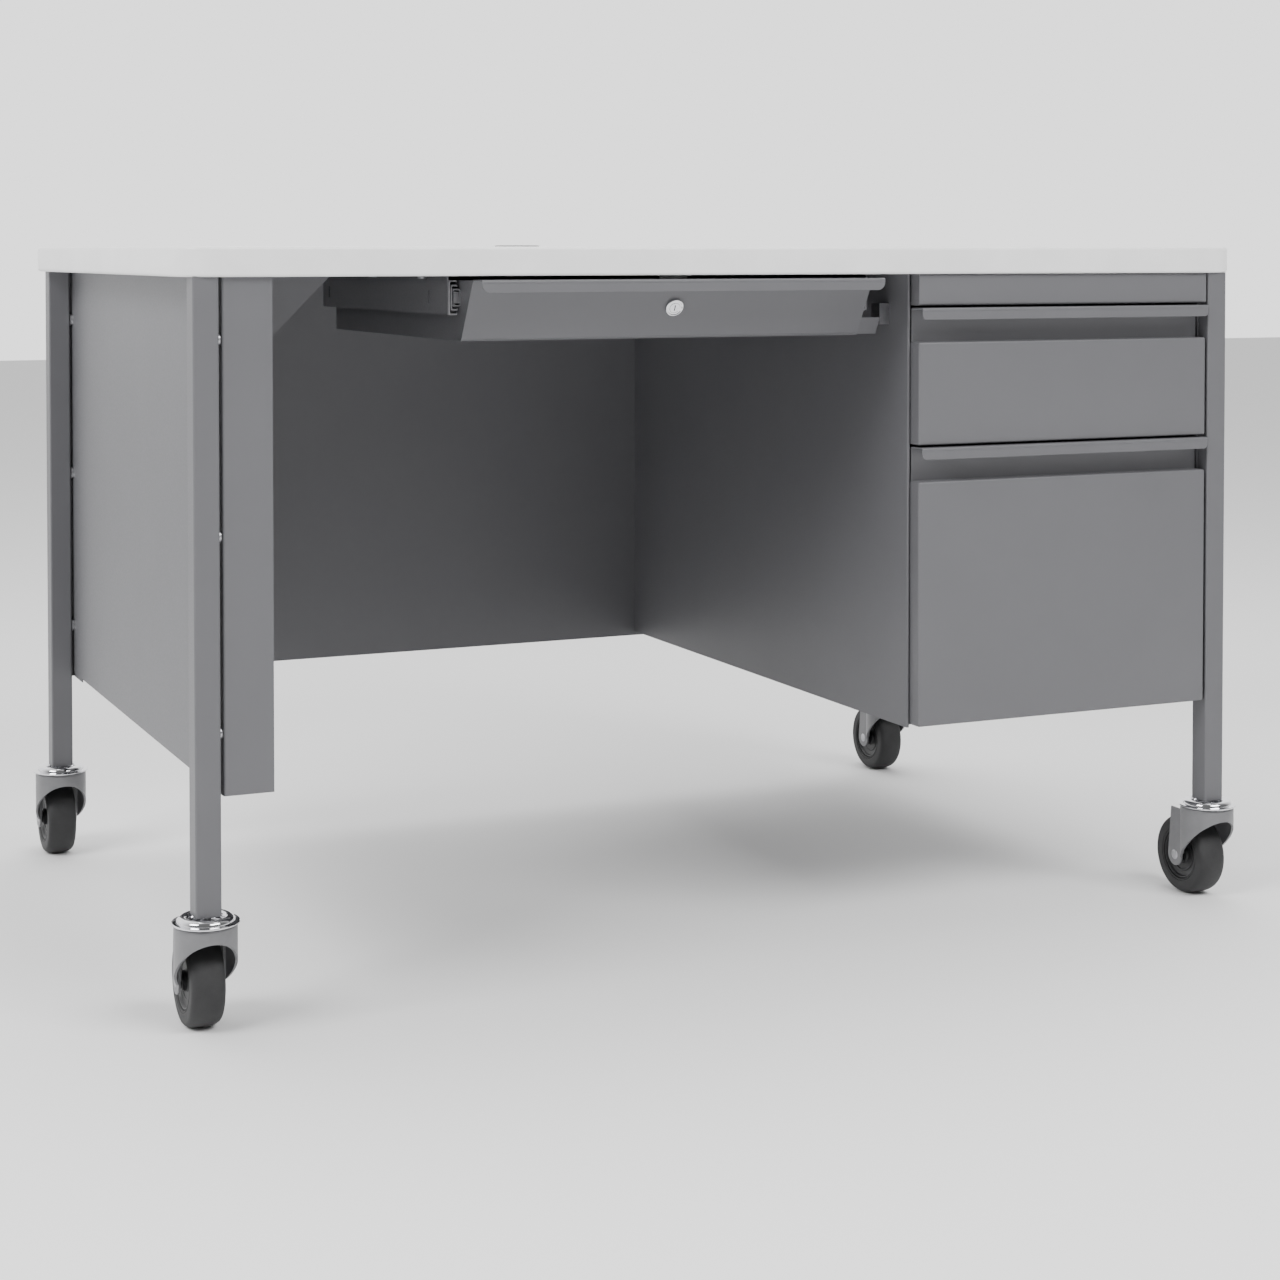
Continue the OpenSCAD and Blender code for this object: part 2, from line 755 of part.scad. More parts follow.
worktop();
edge_band();
grommet_sleeve();
grommet_cap();
leg(-leg_x, leg_front_y);  // leg_front_left
leg(leg_x, leg_front_y);  // leg_front_right
leg(-leg_x, leg_rear_y);  // leg_rear_left
leg(leg_x, leg_rear_y);  // leg_rear_right
left_end_panel();
left_inner_panel();
panel_spacers();
right_end_panel();
modesty_panel();
knee_gusset();
pedestal_side();
pedestal_back();
pedestal_base();
front_header();
hanger(-1);  // left_hanger
hanger(1);  // right_hanger
worktop_screws();
interlock_bracket();
centre_slide() outer_section();  // centre_slide_outers
pedestal_slide(box_slide_z) outer_section();  // box_slide_outers
pedestal_slide(file_slide_z) outer_section();  // file_slide_outers
centre_slide() middle_section();  // centre_slide_middles
pedestal_slide(box_slide_z) middle_section();  // box_slide_middles
pedestal_slide(file_slide_z) middle_section();  // file_slide_middles
centre_slide() inner_section();  // centre_slide_inners
pedestal_slide(box_slide_z) inner_section();  // box_slide_inners
pedestal_slide(file_slide_z) inner_section();  // file_slide_inners
centre_drawer_tray();
centre_drawer_front();
lock_shell();
lock_plug();
lock_cam();
lock_strike();
box_drawer_tray();
box_drawer_front();
file_drawer_tray();
file_drawer_front();
file_rails();
caster_stems();
bearing_cups();
fork(-leg_x, leg_front_y);  // fork_front_left
axle(-leg_x, leg_front_y);  // axle_front_left
hub(-leg_x, leg_front_y);  // hub_front_left
tyre(-leg_x, leg_front_y);  // tyre_front_left
fork(leg_x, leg_front_y);  // fork_front_right
axle(leg_x, leg_front_y);  // axle_front_right
hub(leg_x, leg_front_y);  // hub_front_right
tyre(leg_x, leg_front_y);  // tyre_front_right
fork(-leg_x, leg_rear_y);  // fork_rear_left
axle(-leg_x, leg_rear_y);  // axle_rear_left
hub(-leg_x, leg_rear_y);  // hub_rear_left
tyre(-leg_x, leg_rear_y);  // tyre_rear_left
fork(leg_x, leg_rear_y);  // fork_rear_right
axle(leg_x, leg_rear_y);  // axle_rear_right
hub(leg_x, leg_rear_y);  // hub_rear_right
tyre(leg_x, leg_rear_y);  // tyre_rear_right
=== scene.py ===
import bmesh
import bpy
import json
import math
import numpy as np
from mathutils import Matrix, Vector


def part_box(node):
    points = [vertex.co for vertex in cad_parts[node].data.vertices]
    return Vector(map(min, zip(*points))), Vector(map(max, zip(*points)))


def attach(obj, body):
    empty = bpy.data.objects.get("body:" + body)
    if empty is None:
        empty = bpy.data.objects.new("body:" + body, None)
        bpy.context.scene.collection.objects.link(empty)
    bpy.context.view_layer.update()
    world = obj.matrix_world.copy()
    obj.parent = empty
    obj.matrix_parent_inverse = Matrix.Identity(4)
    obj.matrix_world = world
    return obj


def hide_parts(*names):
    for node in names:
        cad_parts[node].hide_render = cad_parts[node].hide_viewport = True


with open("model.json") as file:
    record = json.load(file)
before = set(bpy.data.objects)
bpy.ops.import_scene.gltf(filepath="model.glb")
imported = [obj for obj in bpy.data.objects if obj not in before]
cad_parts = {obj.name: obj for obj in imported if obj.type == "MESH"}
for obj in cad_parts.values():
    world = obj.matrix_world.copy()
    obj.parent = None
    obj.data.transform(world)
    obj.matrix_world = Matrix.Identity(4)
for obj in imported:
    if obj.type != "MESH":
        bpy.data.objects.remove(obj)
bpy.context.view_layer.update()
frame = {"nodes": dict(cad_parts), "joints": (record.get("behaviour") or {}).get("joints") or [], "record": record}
print("stage: frame loaded")

mm = 0.001


def boxMm(node):
    lo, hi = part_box(node)
    return np.array(lo) / mm, np.array(hi) / mm


# Main places, in millimetres
topLo, topHi = boxMm("edge_band")
frontY, deskZ = topLo[1], topHi[2]
jointAt = {j["name"]: j for j in frame["joints"]}
corners = ["front_left", "front_right", "rear_left", "rear_right"]
sheetSteel = {"thick": 1.2, "bend": 1.8}


# Colours and nodes

def linear(hexColour):
    # sRGB bytes to linear light: c/12.92 near black, else ((c + 0.055)/1.055) to the power 2.4
    c = np.array([int(hexColour[i:i + 2], 16) for i in (1, 3, 5)]) / 255
    c = np.where(c <= 0.04045, c / 12.92, ((c + 0.055) / 1.055) ** 2.4)
    return (*c.tolist(), 1.0)


def addNode(tree, kind, sockets=None, **settings):
    node = tree.nodes.new(kind)
    for key, value in settings.items():
        setattr(node, key, value)
    for key, value in (sockets or {}).items():
        if isinstance(value, bpy.types.NodeSocket):
            tree.links.new(value, node.inputs[key])
        else:
            node.inputs[key].default_value = value
    return node


def makeFinish(name, look):
    # A broad mottle moves the colour a little, a fine grain moves the roughness and the bump.
    # Sizes are in mm; stretch lengthens the grain along X, Y and Z.
    material = bpy.data.materials.new(name)
    material.use_nodes = True
    tree = material.node_tree
    tree.nodes.clear()
    place = addNode(tree, "ShaderNodeTexCoord")
    mottle = addNode(tree, "ShaderNodeTexNoise",
                     {"Vector": place.outputs["Object"], "Scale": 1 / (look["mottleSize"] * mm),
                      "Detail": 4.0, "Roughness": 0.55})
    colour = addNode(tree, "ShaderNodeValToRGB", {"Fac": mottle.outputs["Fac"]})
    colour.color_ramp.elements[0].position = 0.3
    colour.color_ramp.elements[1].position = 0.7
    colour.color_ramp.elements[0].color = linear(look["dark"])
    colour.color_ramp.elements[1].color = linear(look["light"])
    stretched = addNode(tree, "ShaderNodeMapping",
                        {"Vector": place.outputs["Object"],
                         "Scale": tuple(1 / s for s in look.get("stretch", (1, 1, 1)))})
    grain = addNode(tree, "ShaderNodeTexNoise",
                    {"Vector": stretched.outputs["Vector"], "Scale": 1 / (look["grainSize"] * mm),
                     "Detail": 3.0, "Roughness": 0.6})
    rough = addNode(tree, "ShaderNodeMapRange",
                    {"Value": grain.outputs["Fac"], "From Min": 0.25, "From Max": 0.75,
                     "To Min": look["rough"][0], "To Max": look["rough"][1]})
    bump = addNode(tree, "ShaderNodeBump",
                   {"Height": grain.outputs["Fac"], "Strength": look["bump"],
                    "Distance": look["grainSize"] * mm * 0.25})
    sockets = {"Base Color": colour.outputs["Color"], "Roughness": rough.outputs["Result"],
               "Normal": bump.outputs["Normal"], "Metallic": look.get("metallic", 0.0)}
    if "coat" in look:
        sockets.update({"Coat Weight": look["coat"], "Coat Roughness": look["coatRough"]})
    if not look.get("metallic"):
        sockets["IOR"] = look["ior"]
    shader = addNode(tree, "ShaderNodeBsdfPrincipled", sockets)
    addNode(tree, "ShaderNodeOutputMaterial", {"Surface": shader.outputs["BSDF"]})
    return material


looks = {
    # Polyester powder coat, oven cured: satin, with a faint orange peel. The real peel is about
    # 0.6 mm across, drawn at 1.6 mm so that it shows
    "powderCoat": {"dark": "#5d5d60", "light": "#5f5f62", "mottleSize": 90, "grainSize": 1.6,
                   "rough": (0.40, 0.52), "bump": 0.10, "ior": 1.5},
    # High-pressure laminate, pressed against a finely pebbled plate: even, low sheen
    "pressedLaminate": {"dark": "#eaeaea", "light": "#f2f2f2", "mottleSize": 40, "grainSize": 0.9,
                        "rough": (0.42, 0.58), "bump": 0.16, "ior": 1.5},
    # Extruded PVC edging: satin, with draw lines that run round the top
    "extrudedPvc": {"dark": "#e8e8e8", "light": "#f0f0f0", "mottleSize": 60, "grainSize": 0.8,
                    "stretch": (30, 30, 1), "rough": (0.28, 0.38), "bump": 0.06, "ior": 1.53},
    # Moulded ABS with a fine spark-eroded grain
    "mouldedAbs": {"dark": "#333335", "light": "#3b3b3d", "mottleSize": 20, "grainSize": 0.6,
                   "rough": (0.45, 0.60), "bump": 0.22, "ior": 1.54},
    # Cold-rolled steel, zinc plated: cloudy, with rolling lines along the slides
    "zincPlate": {"dark": "#9b9b9e", "light": "#b9b9bc", "mottleSize": 12, "grainSize": 0.7,
                  "stretch": (1, 25, 1), "rough": (0.28, 0.42), "bump": 0.05, "metallic": 1.0},
    # Nickel-chrome plate over pressed steel: mirror bright, with fine wiping marks
    "brightChrome": {"dark": "#d2d2d6", "light": "#e4e4e6", "mottleSize": 15, "grainSize": 0.5,
                     "rough": (0.05, 0.12), "bump": 0.02, "metallic": 1.0},
    # Pressed fork steel with a satin baked coat
    "satinFork": {"dark": "#6a6a6c", "light": "#737375", "mottleSize": 18, "grainSize": 0.9,
                  "rough": (0.36, 0.46), "bump": 0.08, "ior": 1.5},
    # Moulded rubber tread: matte, slightly dusty
    "mouldedRubber": {"dark": "#1f1f20", "light": "#272728", "mottleSize": 14, "grainSize": 0.8,
                      "rough": (0.55, 0.72), "bump": 0.20, "ior": 1.52},
    # Moulded polypropylene wheel core: smoother than the tread
    "mouldedPolypropylene": {"dark": "#1f1f20", "light": "#262628", "mottleSize": 10,
                             "grainSize": 0.7, "rough": (0.38, 0.52), "bump": 0.12, "ior": 1.49},
}
finishes = {name: makeFinish(name, look) for name, look in looks.items()}
slotFinish = {"grey_steel": "powderCoat", "laminate": "pressedLaminate",
              "edge_band": "extrudedPvc", "grommet_plastic": "mouldedAbs",
              "zinc_steel": "zincPlate", "chrome": "brightChrome", "fork_steel": "satinFork",
              "wheel_rubber": "mouldedRubber", "hub_plastic": "mouldedPolypropylene"}
for part in frame["record"]["subparts"]:
    shown = frame["nodes"][part["node"]]
    shown.data.materials.clear()
    shown.data.materials.append(finishes[slotFinish[part["material_slot"]]])
print("stage: finishes made")


# Shapes

def gridFaces(rows, columns, wrapRows=False, wrapColumns=False):
    # Quads between neighbouring points of a rows x columns grid
    u, v = np.meshgrid(np.arange(rows if wrapRows else rows - 1),
                       np.arange(columns if wrapColumns else columns - 1), indexing="ij")
    un, vn = (u + 1) % rows, (v + 1) % columns
    return np.stack([u * columns + v, un * columns + v, un * columns + vn, u * columns + vn],
                    -1).reshape(-1, 4)


def bentPath(points, bend, steps=6, share=0.45):
    # Straight runs joined by arcs: each corner turns through its angle about a centre that is
    # one bend radius to the inner side
    points = np.array(points, float)
    runs = [points[:1]]
    for before, at, after in zip(points[:-2], points[1:-1], points[2:]):
        inLen, outLen = np.linalg.norm(at - before), np.linalg.norm(after - at)
        d, e = (at - before) / inLen, (after - at) / outLen
        turn = math.atan2(d[0] * e[1] - d[1] * e[0], d @ e)
        half = abs(math.tan(turn / 2))
        r = min(bend, share * min(inLen, outLen) / half)
        start = at - d * r * half
        centre = start + math.copysign(r, turn) * np.array([-d[1], d[0]])
        a = np.linspace(0, turn, steps + 1)[:, None]
        arm = start - centre
        runs.append(centre + arm * np.cos(a) + np.array([-arm[1], arm[0]]) * np.sin(a))
    runs.append(points[-1:])
    return np.vstack(runs)


def shiftPath(path, shift, closed=False):
    # Each point moves along the mitre of its two edges' left normals
    step = np.diff(path, axis=0, append=path[:1]) if closed else np.diff(path, axis=0)
    n = np.stack([-step[:, 1], step[:, 0]], 1) / np.linalg.norm(step, axis=1)[:, None]
    before, after = (np.roll(n, 1, 0), n) if closed else (np.vstack([n[:1], n]),
                                                          np.vstack([n, n[-1:]]))
    return path + shift * (before + after) / (1 + (before * after).sum(1))[:, None]


def ordered(a, b, c, axes):
    # a and b are the section's own directions and c runs along it; axes says which is which
    named = {axes[0]: a, axes[1]: b, axes[2]: c}
    return np.stack(np.broadcast_arrays(named["x"], named["y"], named["z"]), -1)


def foldedSheet(points, lo, hi, axes, thick=None, bend=None):
    # A bent path given half the sheet's thickness on both sides, extruded from lo to hi
    thick = sheetSteel["thick"] if thick is None else thick
    path = bentPath(points, sheetSteel["bend"] if bend is None else bend)
    left, right = shiftPath(path, thick / 2), shiftPath(path, -thick / 2)
    ring = np.stack([left, right, right, left], 1)
    along = np.array([lo, lo, hi, hi], float)[None, :]
    n = len(path)
    faces = gridFaces(n, 4, wrapColumns=True).tolist()
    faces += [[0, 1, 2, 3], [4 * n - 4, 4 * n - 3, 4 * n - 2, 4 * n - 1]]
    return ordered(ring[..., 0], ring[..., 1], along + 0 * ring[..., 0], axes), faces


def easedPrism(outline, lo, hi, axes, ease=0.4):
    # A closed outline, counter-clockwise, extruded from lo to hi, its end edges eased
    rings = [shiftPath(outline, ease, True), outline, outline, shiftPath(outline, ease, True)]
    along = np.array([lo, lo + ease, hi - ease, hi], float)
    points = np.stack(rings)
    n = len(outline)
    faces = gridFaces(4, n, wrapColumns=True).tolist()
    faces += [list(range(n)), list(range(3 * n, 4 * n))]
    return ordered(points[..., 0], points[..., 1], along[:, None] + 0 * points[..., 0], axes), faces


def roundedOutline(points, radii, steps=8):
    # A closed outline whose corners are arcs, counter-clockwise
    points = np.array(points, float)
    pieces = []
    for i, r in enumerate(radii):
        before, at, after = points[i - 1], points[i], points[(i + 1) % len(points)]
        if r == 0:
            pieces.append(at[None])
        else:
            pieces.append(bentPath([before, at, after], r, steps, 0.9)[1:-1])
    return np.vstack(pieces)


def turned(profile, centre, along, steps=96, closed=True):
    # A profile of (radius, height) carried round an axis through centre
    profile, along = np.array(profile, float), np.array(along, float)
    along = along / np.linalg.norm(along)
    side = np.cross(along, [0, 0, 1] if abs(along[2]) < 0.9 else [1, 0, 0])
    side = side / np.linalg.norm(side)
    other = np.cross(along, side)
    a = np.linspace(0, 2 * math.pi, steps, endpoint=False)[:, None]
    spoke = np.cos(a) * side + np.sin(a) * other
    points = (np.array(centre, float) + profile[None, :, :1] * spoke[:, None]
              + profile[None, :, 1:] * along)
    return points, gridFaces(steps, len(profile), wrapRows=True, wrapColumns=closed).tolist()


def makePiece(name, parts, body, slot, replaced=(), sharp=35):
    # Joins the parts into one mesh, merges seams and poles, and turns the faces outwards
    points, faces, start = [], [], 0
    for partPoints, partFaces in parts:
        flat = partPoints.reshape(-1, 3)
        points.append(flat * mm)
        faces += [[start + i for i in face] for face in partFaces]
        start += len(flat)
    mesh = bpy.data.meshes.new(name)
    mesh.from_pydata(np.vstack(points).tolist(), [], faces)
    solid = bmesh.new()
    solid.from_mesh(mesh)
    bmesh.ops.remove_doubles(solid, verts=solid.verts, dist=1e-6)
    bmesh.ops.recalc_face_normals(solid, faces=solid.faces)
    solid.to_mesh(mesh)
    solid.free()
    mesh.shade_smooth()
    mesh.set_sharp_from_angle(angle=math.radians(sharp))
    mesh.materials.append(finishes[slotFinish[slot]])
    piece = bpy.data.objects.new(name, mesh)
    bpy.context.scene.collection.objects.link(piece)
    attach(piece, body)
    if replaced:
        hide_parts(*replaced)
    return piece


# Worktop edge

edging = {"cornerRadius": 30, "edgeRadius": 3.5, "wide": 3}


def makeEdging():
    # A rounded strip section carried round the rounded rectangle of the top
    r, t, h = edging["edgeRadius"], edging["wide"], topHi[2] - topLo[2]
    path = roundedOutline([(topLo[0], topLo[1]), (topHi[0], topLo[1]), (topHi[0], topHi[1]),
                           (topLo[0], topHi[1])], [edging["cornerRadius"]] * 4, 16)
    a = np.linspace(0, math.pi / 2, 7)
    lower = np.stack([r - r * np.sin(a[::-1]), r - r * np.cos(a[::-1])], 1)[::-1]
    rise = lower[lower[:, 0] < t][:, 0]
    inset = np.concatenate([[t], rise, rise[::-1], [t]])
    level = np.where(inset < r, r - np.sqrt(np.maximum(r * r - (r - inset) ** 2, 0)), 0)
    half = len(inset) // 2
    z = np.concatenate([topLo[2] + level[:half], topHi[2] - level[half:]])
    rings = np.stack([shiftPath(path, i, True) for i in inset])
    points = np.concatenate([rings, np.broadcast_to(z[:, None, None], (*rings.shape[:2], 1))], -1)
    return points, gridFaces(len(inset), len(path), wrapRows=True, wrapColumns=True).tolist()


makePiece("topEdging", [makeEdging()], "frame", "edge_band", ["edge_band"])
print("stage: worktop edge")


# End panel and pedestal sheets

gauge = sheetSteel["thick"]
pedestalSheet = {"hem": 3.5, "hemDeep": 14, "railDeep": 40, "ledgeDeep": 30}


def makeEndSheets():
    lo, hi = boxMm("left_end_panel")
    skin = foldedSheet([(lo[0] + gauge / 2, hi[1]), (lo[0] + gauge / 2, lo[1] + gauge / 2),
                        (hi[0], lo[1] + gauge / 2)], lo[2], hi[2], "xyz", bend=2.4)
    makePiece("leftEndSkin", [skin], "frame", "grey_steel", ["left_end_panel"])
    lo, hi = boxMm("pedestal_side")
    fold = lo[0] + pedestalSheet["hem"] - gauge / 2
    side = foldedSheet([(fold, lo[1] + pedestalSheet["hemDeep"]), (fold, lo[1] + gauge / 2),
                        (lo[0] + gauge / 2, lo[1] + gauge / 2), (lo[0] + gauge / 2, hi[1])],
                       lo[2], hi[2], "xyz", bend=1.1)
    flange = foldedSheet([(lo[0] + gauge, hi[2] - gauge / 2), (hi[0], hi[2] - gauge / 2)],
                         lo[1], hi[1], "xzy")
    makePiece("pedestalSideSheet", [side, flange], "frame", "grey_steel", ["pedestal_side"])
    lo, hi = boxMm("front_header")
    carcassY = boxMm("right_end_panel")[0][1]
    faceLo, faceHi = boxMm("box_drawer_front")
    rail = foldedSheet([(lo[1] + pedestalSheet["railDeep"], lo[2] + gauge / 2),
                        (lo[1] + gauge / 2, lo[2] + gauge / 2),
                        (lo[1] + gauge / 2, hi[2] - gauge / 2), (carcassY, hi[2] - gauge / 2)],
                       faceLo[0], faceHi[0], "yzx", bend=2.2)
    returns = []
    for x in (faceLo[0], faceHi[0] - gauge):
        plate = np.array([(x, lo[1] + gauge), (x + gauge, lo[1] + gauge), (x + gauge, carcassY),
                          (x, carcassY)])
        returns.append(easedPrism(plate, lo[2] + gauge, hi[2] - gauge, "xyz", 0.2))
    backY = carcassY + pedestalSheet["ledgeDeep"]
    plate = np.array([(lo[0], carcassY), (hi[0], carcassY), (hi[0], backY), (lo[0], backY)])
    ledge = easedPrism(plate, lo[2] + gauge, lo[2] + 2 * gauge, "xyz", 0.2)
    makePiece("headerRail", [rail, ledge] + returns, "frame", "grey_steel", ["front_header"])


makeEndSheets()
print("stage: end and pedestal sheets")


# Pedestal fronts

pull = {"height": 37, "lip": 12.8, "lipStart": 3.4, "lipCorner": 5, "centreCorner": 9,
        "sideGap": 1, "proud": 6, "faceBend": 2.2}


def lipStrip(x0, x1, y, top, start, corner):
    # An upright strip whose lower corners are round, from its top bend down
    outline = roundedOutline([(x0, top - pull["lip"]), (x1, top - pull["lip"]), (x1, top - start),
                              (x0, top - start)], [corner, corner, 0, 0], 10)
    return easedPrism(outline, y, y + gauge, "xzy", 0.25)


def panFace(lo, hi, bend):
    # Rounded rectangles set one inside the next: back rim, outer wall, quarter-round edge,
    # flat face, then the same inside one sheet's thickness away
    a = np.linspace(0, math.pi / 2, 7)
    outer = [(0, hi[1])] + [(bend - bend * math.cos(t), lo[1] + bend - bend * math.sin(t))
                            for t in a]
    inner = [(gauge + 0.8, lo[1] + gauge), (gauge, lo[1] + gauge + 0.8), (gauge, hi[1])]
    rings = []
    for inset, y in outer + inner:
        r = max(bend - inset, 0.2) + 0.4
        ring = roundedOutline([(lo[0] + inset, lo[2] + inset), (hi[0] - inset, lo[2] + inset),
                               (hi[0] - inset, hi[2] - inset), (lo[0] + inset, hi[2] - inset)],
                              [r] * 4, 5)
        rings.append(ordered(ring[:, 0], ring[:, 1], y + 0 * ring[:, 0], "xzy"))
    n, cut = len(rings[0]), len(outer)
    shell = np.stack(rings)
    faces = gridFaces(len(rings), n, wrapRows=True, wrapColumns=True)
    walls = [f for f in faces.tolist() if not ({f[0] // n, f[2] // n} == {cut - 1, cut})]
    return shell, walls + [list(range((cut - 1) * n, cut * n)), list(range(cut * n, (cut + 1) * n))]


def makeFront(name, node, body):
    lo, hi = boxMm(node)
    faceY = lo[1] + pull["proud"]
    faceTop = hi[2] - pull["height"]
    pan = panFace(np.array([lo[0], faceY, lo[2]]), np.array([hi[0], hi[1], faceTop]),
                  pull["faceBend"])
    x0, x1 = lo[0] + pull["sideGap"], hi[0] - pull["sideGap"]
    start = pull["lipStart"]
    recess = foldedSheet([(hi[1] - gauge / 2, faceTop - 10), (hi[1] - gauge / 2, hi[2] - gauge / 2),
                          (lo[1] + gauge / 2, hi[2] - gauge / 2), (lo[1] + gauge / 2, hi[2] - start)],
                         x0, x1, "yzx", bend=2.4)
    strip = lipStrip(x0, x1, lo[1], hi[2], start, pull["lipCorner"])
    makePiece(name, [pan, recess, strip], body, "grey_steel", [node])


makeFront("boxFront", "box_drawer_front", "box_drawer")
makeFront("fileFront", "file_drawer_front", "file_drawer")
print("stage: pedestal fronts")


# Centre drawer front and lock

def makeCentreFront():
    lo, hi = boxMm("centre_drawer_front")
    trayLo = boxMm("centre_drawer_tray")[0]
    axis = np.array(jointAt["lock_turn"]["axis"])
    at = np.array(jointAt["lock_turn"]["pos_m"]) / mm
    slope = axis[2] / axis[1]  # how far the face goes back for each mm down

    def faceY(z):
        return at[1] + (at[2] - z) * slope

    mid = gauge / 2
    path = [(faceY(lo[2] + 2) + 12, trayLo[2] + mid + gauge),
            (faceY(trayLo[2]) + mid, trayLo[2] + mid + gauge), (faceY(hi[2]) + mid, hi[2] - mid),
            (lo[1] + mid, hi[2] - mid), (lo[1] + mid, hi[2] - pull["lipStart"])]
    sheet = foldedSheet(path, lo[0], hi[0], "yzx", bend=2.6)
    strip = lipStrip(lo[0], hi[0], lo[1], hi[2], pull["lipStart"], pull["centreCorner"])
    makePiece("centreFront", [sheet, strip], "centre_drawer", "grey_steel",
              ["centre_drawer_front"])
    # Lock shell: a flat ring with a rolled rim and a sunk middle about the plug
    lock = {"rim": 10, "bore": 5.55, "proud": 3, "barrel": 8.5, "deep": 24}
    a = np.linspace(0, math.pi / 2, 7)
    rolled = [(lock["rim"] - 1.2 + 1.2 * math.sin(t), lock["proud"] - 1.2 + 1.2 * math.cos(t))
              for t in a]
    profile = ([(lock["bore"], -lock["deep"]), (lock["bore"], lock["proud"] - 1.0),
                (lock["bore"] + 0.5, lock["proud"] - 0.6), (lock["rim"] - 2.4, lock["proud"] - 0.6),
                (lock["rim"] - 1.9, lock["proud"])] + rolled
               + [(lock["rim"], 0), (lock["barrel"], 0), (lock["barrel"], -lock["deep"])])
    makePiece("lockShell", [turned(profile, at, axis)], "centre_drawer", "chrome", ["lock_shell"])


makeCentreFront()
print("stage: centre drawer front")


# Drawer slides

slide = {"wall": 1.5, "gap": 0.8, "thick": 12.7, "tall": 35, "bumper": (5.4, 11.2),
         "bumperHalf": 6}


def slideSections():
    # Nested channels, open towards the drawer for the two outer ones and towards the wall for the
    # inner one, each with its flange ends turned in
    w, g, t = slide["wall"], slide["gap"], slide["thick"]
    m = w / 2
    outerV = slide["tall"] / 2 - m
    middleV = (slide["tall"] - 2 * w - 6) / 2 - m
    innerV = (slide["tall"] - 4 * w - 11) / 2 - m
    hook = 1.5
    outer = [(t - 3.5 - m, outerV - hook), (t - 3.5 - m, outerV), (m, outerV), (m, -outerV),
             (t - 3.5 - m, -outerV), (t - 3.5 - m, hook - outerV)]
    middleU = w + g + m
    middle = [(t - 3 - m, middleV - hook), (t - 3 - m, middleV), (middleU, middleV),
              (middleU, -middleV), (t - 3 - m, -middleV), (t - 3 - m, hook - middleV)]
    innerU = 2 * w + 2 * g + m
    inner = [(innerU, innerV - hook), (innerU, innerV), (t - m, innerV), (t - m, -innerV),
             (innerU, -innerV), (innerU, hook - innerV)]
    return {"outers": outer, "middles": middle, "inners": inner}


def makeSlides(family, drawer, runner):
    bodies = {"outers": "frame", "middles": runner, "inners": drawer}
    outerLo, outerHi = boxMm(family + "_slide_outers")
    for member, section in slideSections().items():
        node = family + "_slide_" + member
        lo, hi = boxMm(node)
        midZ = (lo[2] + hi[2]) / 2
        parts = []
        for wallX, side in ((outerLo[0], 1), (outerHi[0], -1)):
            path = [(wallX + side * u, midZ + v) for u, v in section]
            parts.append(foldedSheet(path, lo[1], hi[1], "xzy", thick=slide["wall"], bend=1.6))
            if member == "inners":
                # Bumper block inside each end of the inner member
                u0, u1 = sorted(wallX + side * u for u in slide["bumper"])
                v = slide["bumperHalf"]
                block = np.array([(u0, midZ - v), (u1, midZ - v), (u1, midZ + v), (u0, midZ + v)])
                for y in (lo[1] + 1, hi[1] - 13):
                    parts.append(easedPrism(block, y, y + 12, "xzy", 0.4))
        makePiece(family + "Slide" + member.capitalize(), parts, bodies[member], "zinc_steel",
                  [node])


for family, drawer, runner in (("centre", "centre_drawer", "centre_slide"),
                               ("box", "box_drawer", "box_slide"),
                               ("file", "file_drawer", "file_slide")):
    makeSlides(family, drawer, runner)
print("stage: slides")


# Casters

caster = {"hoodRadius": 30, "wall": 2.5, "shoulder": 3, "stemHole": 5.05, "frontDrop": 13.5,
          "skirtDrop": 8, "cheekDrop": 6.5, "stepRise": 4, "pin": 3.95,
          "cheekWide": 25, "cheekSpan": 45, "rivet": 5.6, "rivetProud": 0.9}


